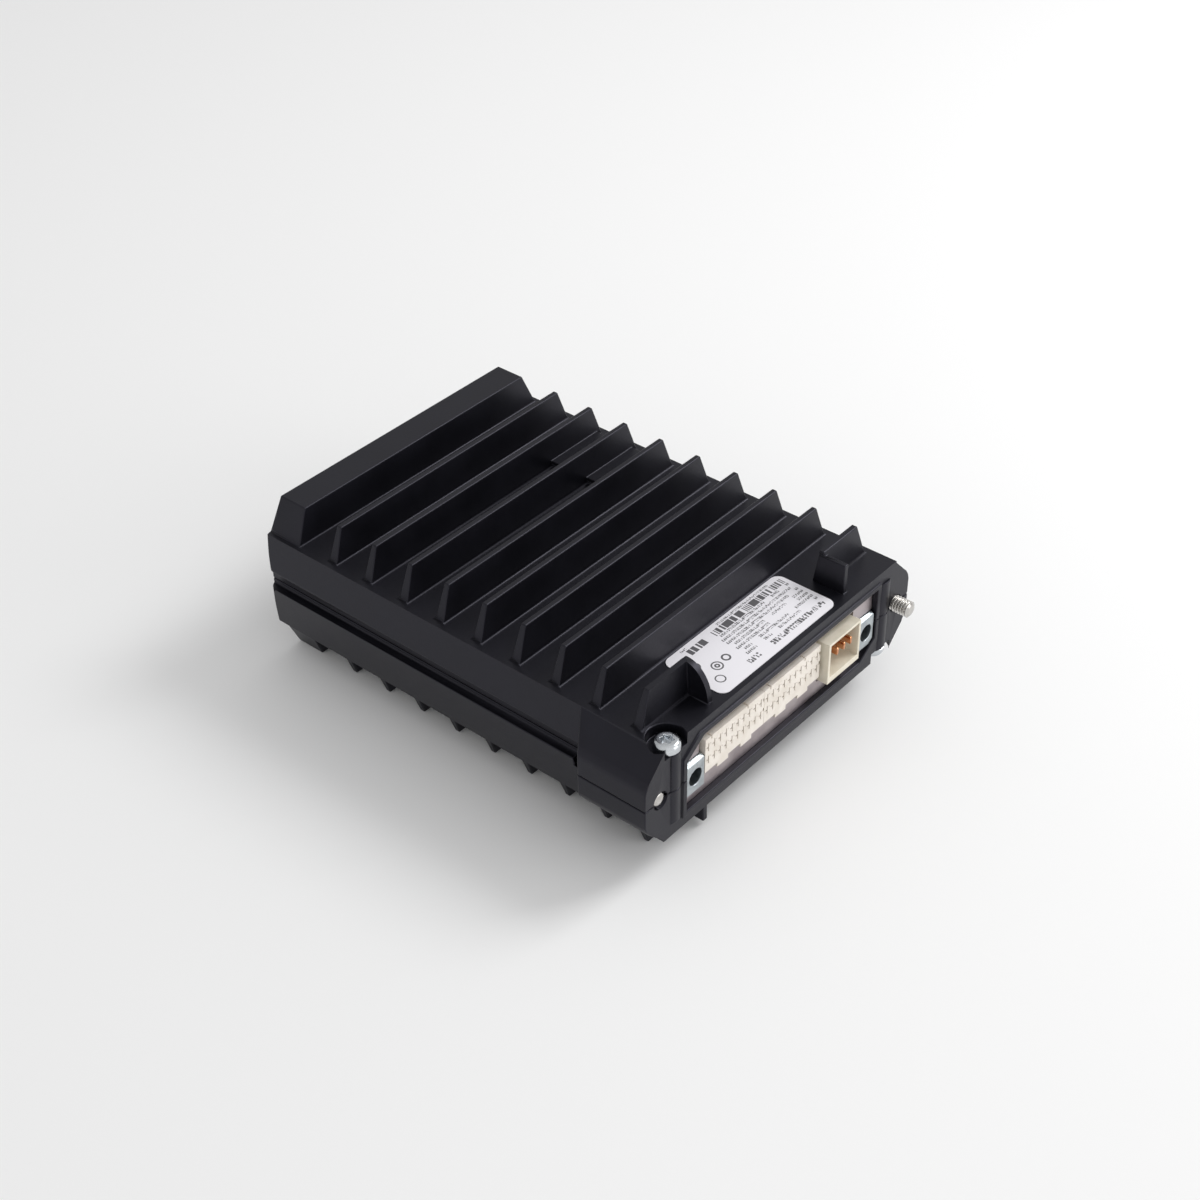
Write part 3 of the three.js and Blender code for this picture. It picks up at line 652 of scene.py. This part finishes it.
def bolt_mesh(node):
    """Captive mounting bolt: domed tip, M4 thread, waisted neck, washer-faced head with a hexagon socket."""
    low, high = (np.array(corner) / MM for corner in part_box(node))
    centre = (low + high) / 2
    tip, back = low[1], high[1]
    root = tip + 5.2
    neck = back - 4.0
    dome = [round_row(1.62 * math.sin(t), tip + 0.5 * (1 - math.cos(t))) for t in np.linspace(0.05, 1.4, 8)]
    rows = dome + thread_rows(tip + 0.62, root, 1.97, 0.7, 0.38)
    rows += [round_row(1.9, root), round_row(1.45, root + 0.3), round_row(1.45, neck - 0.15),
             round_row(1.6, neck), round_row(2.8, neck), round_row(2.96, neck + 0.15)]
    rows += [round_row(2.96, back - 0.4), round_row(2.85, back - 0.15), round_row(2.6, back)]
    rows += [hex_row(1.35, back), hex_row(1.25, back - 0.12), hex_row(1.25, back - 2.2),
             round_row(0.02, back - 2.2)]
    return turned_mesh(node + "_turned", rows, centre, "y")


def screw_mesh(node, up):
    """Housing screw: pan head with a six-lobe recess and a plain hidden shank. up is +1 or -1 for the
    side that the head is on."""
    low, high = (np.array(corner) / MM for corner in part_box(node))
    centre = (low + high) / 2
    top, end = (high[2], low[2]) if up > 0 else (low[2], high[2])
    seat = top - 2.2 * up
    rows = [round_row(0.02, end), round_row(1.1, end), round_row(1.45, end + 0.4 * up), round_row(1.45, seat)]
    rows += [round_row(2.8, seat), round_row(2.97, seat + 0.12 * up), round_row(2.97, seat + 0.9 * up)]
    rows += [round_row(1.9 + 1.07 * math.cos(t), seat + (0.9 + 1.25 * math.sin(t)) * up)
             for t in np.linspace(0.15, math.pi / 2, 9)]
    rows += [lobed_row(1.42, top - 0.02 * up), lobed_row(1.3, top - 0.14 * up),
             lobed_row(1.24, top - 1.2 * up), round_row(0.02, top - 1.3 * up)]
    return turned_mesh(node + "_turned", rows, centre, "z")


for side in ("left", "right"):
    node = "mounting_bolt_" + side
    place_piece(node + "_turned", bolt_mesh(node), node, turned_steel)
for which, up in (("upper", 1), ("lower", -1)):
    node = "housing_screw_" + which
    place_piece(node + "_turned", screw_mesh(node, up), node, zinc_plate)

# %% [markdown]
# ## Power blades
# A blade is a strip punched from copper alloy, coined so that its corners are round and its edges
# soft. Its outline is a rectangle with round corners, carried across the thickness and drawn in a
# little at both faces.


# %% Blades
def blade_mesh(node, corner=0.35, edge=0.12, steps=8):
    """Rings across the thickness: each is the rounded outline drawn in by edge * (1 - cos t), and the
    ring's place across the thickness eases by edge * (1 - sin t), which rounds the rim."""
    low, high = (np.array(point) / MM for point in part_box(node))
    middle, half = (low + high) / 2, (high - low) / 2
    turn = np.linspace(0, 2 * np.pi, 4 * steps, endpoint=False) + np.pi / (4 * steps)
    place_y, place_z = np.sign(np.cos(turn)) * (half[1] - corner), np.sign(np.sin(turn)) * (half[2] - corner)
    t = np.linspace(0, np.pi / 2, 5)
    inset = edge * (1 - np.concatenate([np.sin(t), np.sin(t[::-1])]))
    across = np.concatenate([-half[0] + edge * (1 - np.cos(t)), half[0] - edge * (1 - np.cos(t[::-1]))])
    reach = (corner - inset)[:, None]
    y, z = place_y + reach * np.cos(turn), place_z + reach * np.sin(turn)
    x = np.repeat(across[:, None], len(turn), axis=1)
    points = (np.stack([x, y, z], -1) + middle) * MM
    rings, around = x.shape
    ids = np.arange(rings * around).reshape(rings, around)
    nxt = np.roll(ids, -1, axis=1)
    quads = np.stack([ids[:-1], nxt[:-1], nxt[1:], ids[1:]], -1).reshape(-1, 4)
    mesh = bpy.data.meshes.new(node + "_coined")
    caps = [ids[0][::-1].tolist(), ids[-1].tolist()]
    mesh.from_pydata(points.reshape(-1, 3).tolist(), [], quads.tolist() + caps)
    mesh.shade_smooth()
    mesh.set_sharp_from_angle(angle=math.radians(40))
    return mesh


for number in (1, 2, 3):
    node = "power_blade_%d" % number
    place_piece(node + "_coined", blade_mesh(node), node, blade_copper)
    print(node, "faces:", len(bpy.data.meshes[node + "_coined"].polygons))

# %% Plain finishes for the pieces whose CAD shape is already right
PLAIN = {
    "connector_shield": tinned_sheet,
    "bolt_washer": zinc_plate,
    "control_board_screw": turned_steel,
    "power_board_screw": turned_steel,
    "processor": package_epoxy,
    "memory_chip": package_epoxy,
    "interface_chip": package_epoxy,
    "board_link": package_epoxy,
    "power_transistor": package_epoxy,
    "control_board": solder_mask,
    "power_board": solder_mask,
    "filter_capacitor": shrink_sleeve,
    "power_inductor": ferrite_core,
    "control_thermal_pad": silicone_pad,
    "power_thermal_pad": silicone_pad,
    "rating_label": label_film,
}
for name, thing in nodes.items():
    family = max((key for key in PLAIN if name.startswith(key)), key=len, default=None)
    if family:
        thing.data.materials.clear()
        thing.data.materials.append(PLAIN[family])
